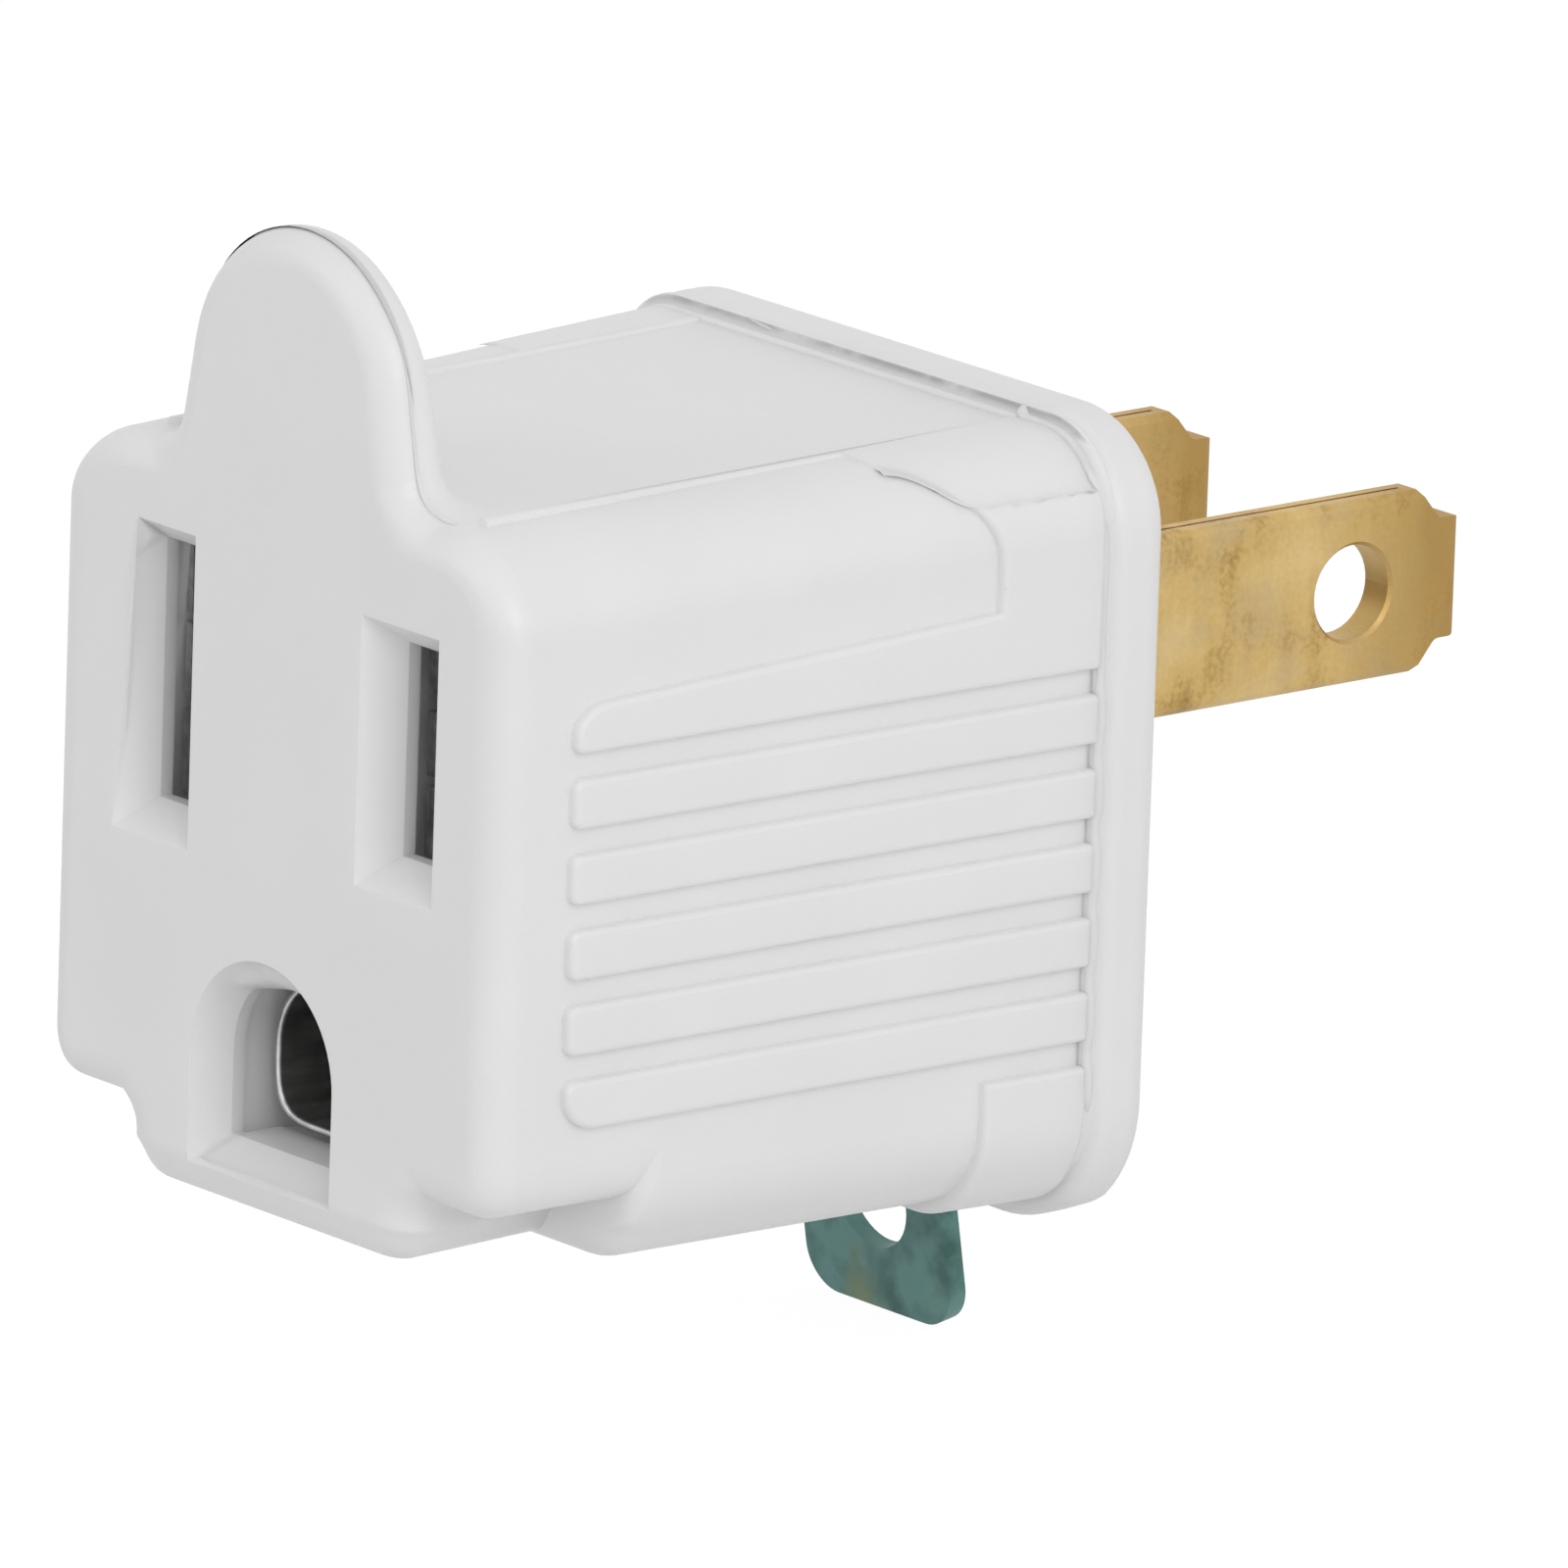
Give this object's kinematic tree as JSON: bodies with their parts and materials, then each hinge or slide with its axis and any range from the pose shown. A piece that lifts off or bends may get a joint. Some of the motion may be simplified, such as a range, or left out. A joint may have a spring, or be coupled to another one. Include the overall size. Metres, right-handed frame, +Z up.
{
  "type": "grounding plug adapter",
  "caption": "Three-prong to two-prong grounding plug adapter with a pull tab, grip ribs, folded blades and a green ground lug for the cover screw.",
  "frame": {"origin": "centre of the flat rear face that meets the wall outlet, on the line between the centres of the two blades", "axes": "+Y points out of the rear face along the blades, towards the wall; +Z is up, towards the pull tab; +X is right, seen from the socket face"},
  "size_m": [0.0262, 0.0457, 0.0416],
  "materials": {
    "white_plastic": "satin moulded",
    "brass": "dull, mottled",
    "spring_metal": "plated, satin",
    "green_metal": "thin mottled green coat",
    "rivet_metal": "plain"
  },
  "bodies": {
    "root": {"front_housing": "white_plastic", "rear_base": "white_plastic", "contact_retainer": "white_plastic", "neutral_blade": "brass", "line_blade": "brass", "neutral_contact": "spring_metal", "line_contact": "spring_metal", "ground_sleeve": "spring_metal", "ground_lug": "green_metal", "blade_rivets": "rivet_metal", "ground_rivet": "rivet_metal"}
  },
  "joints": []
}
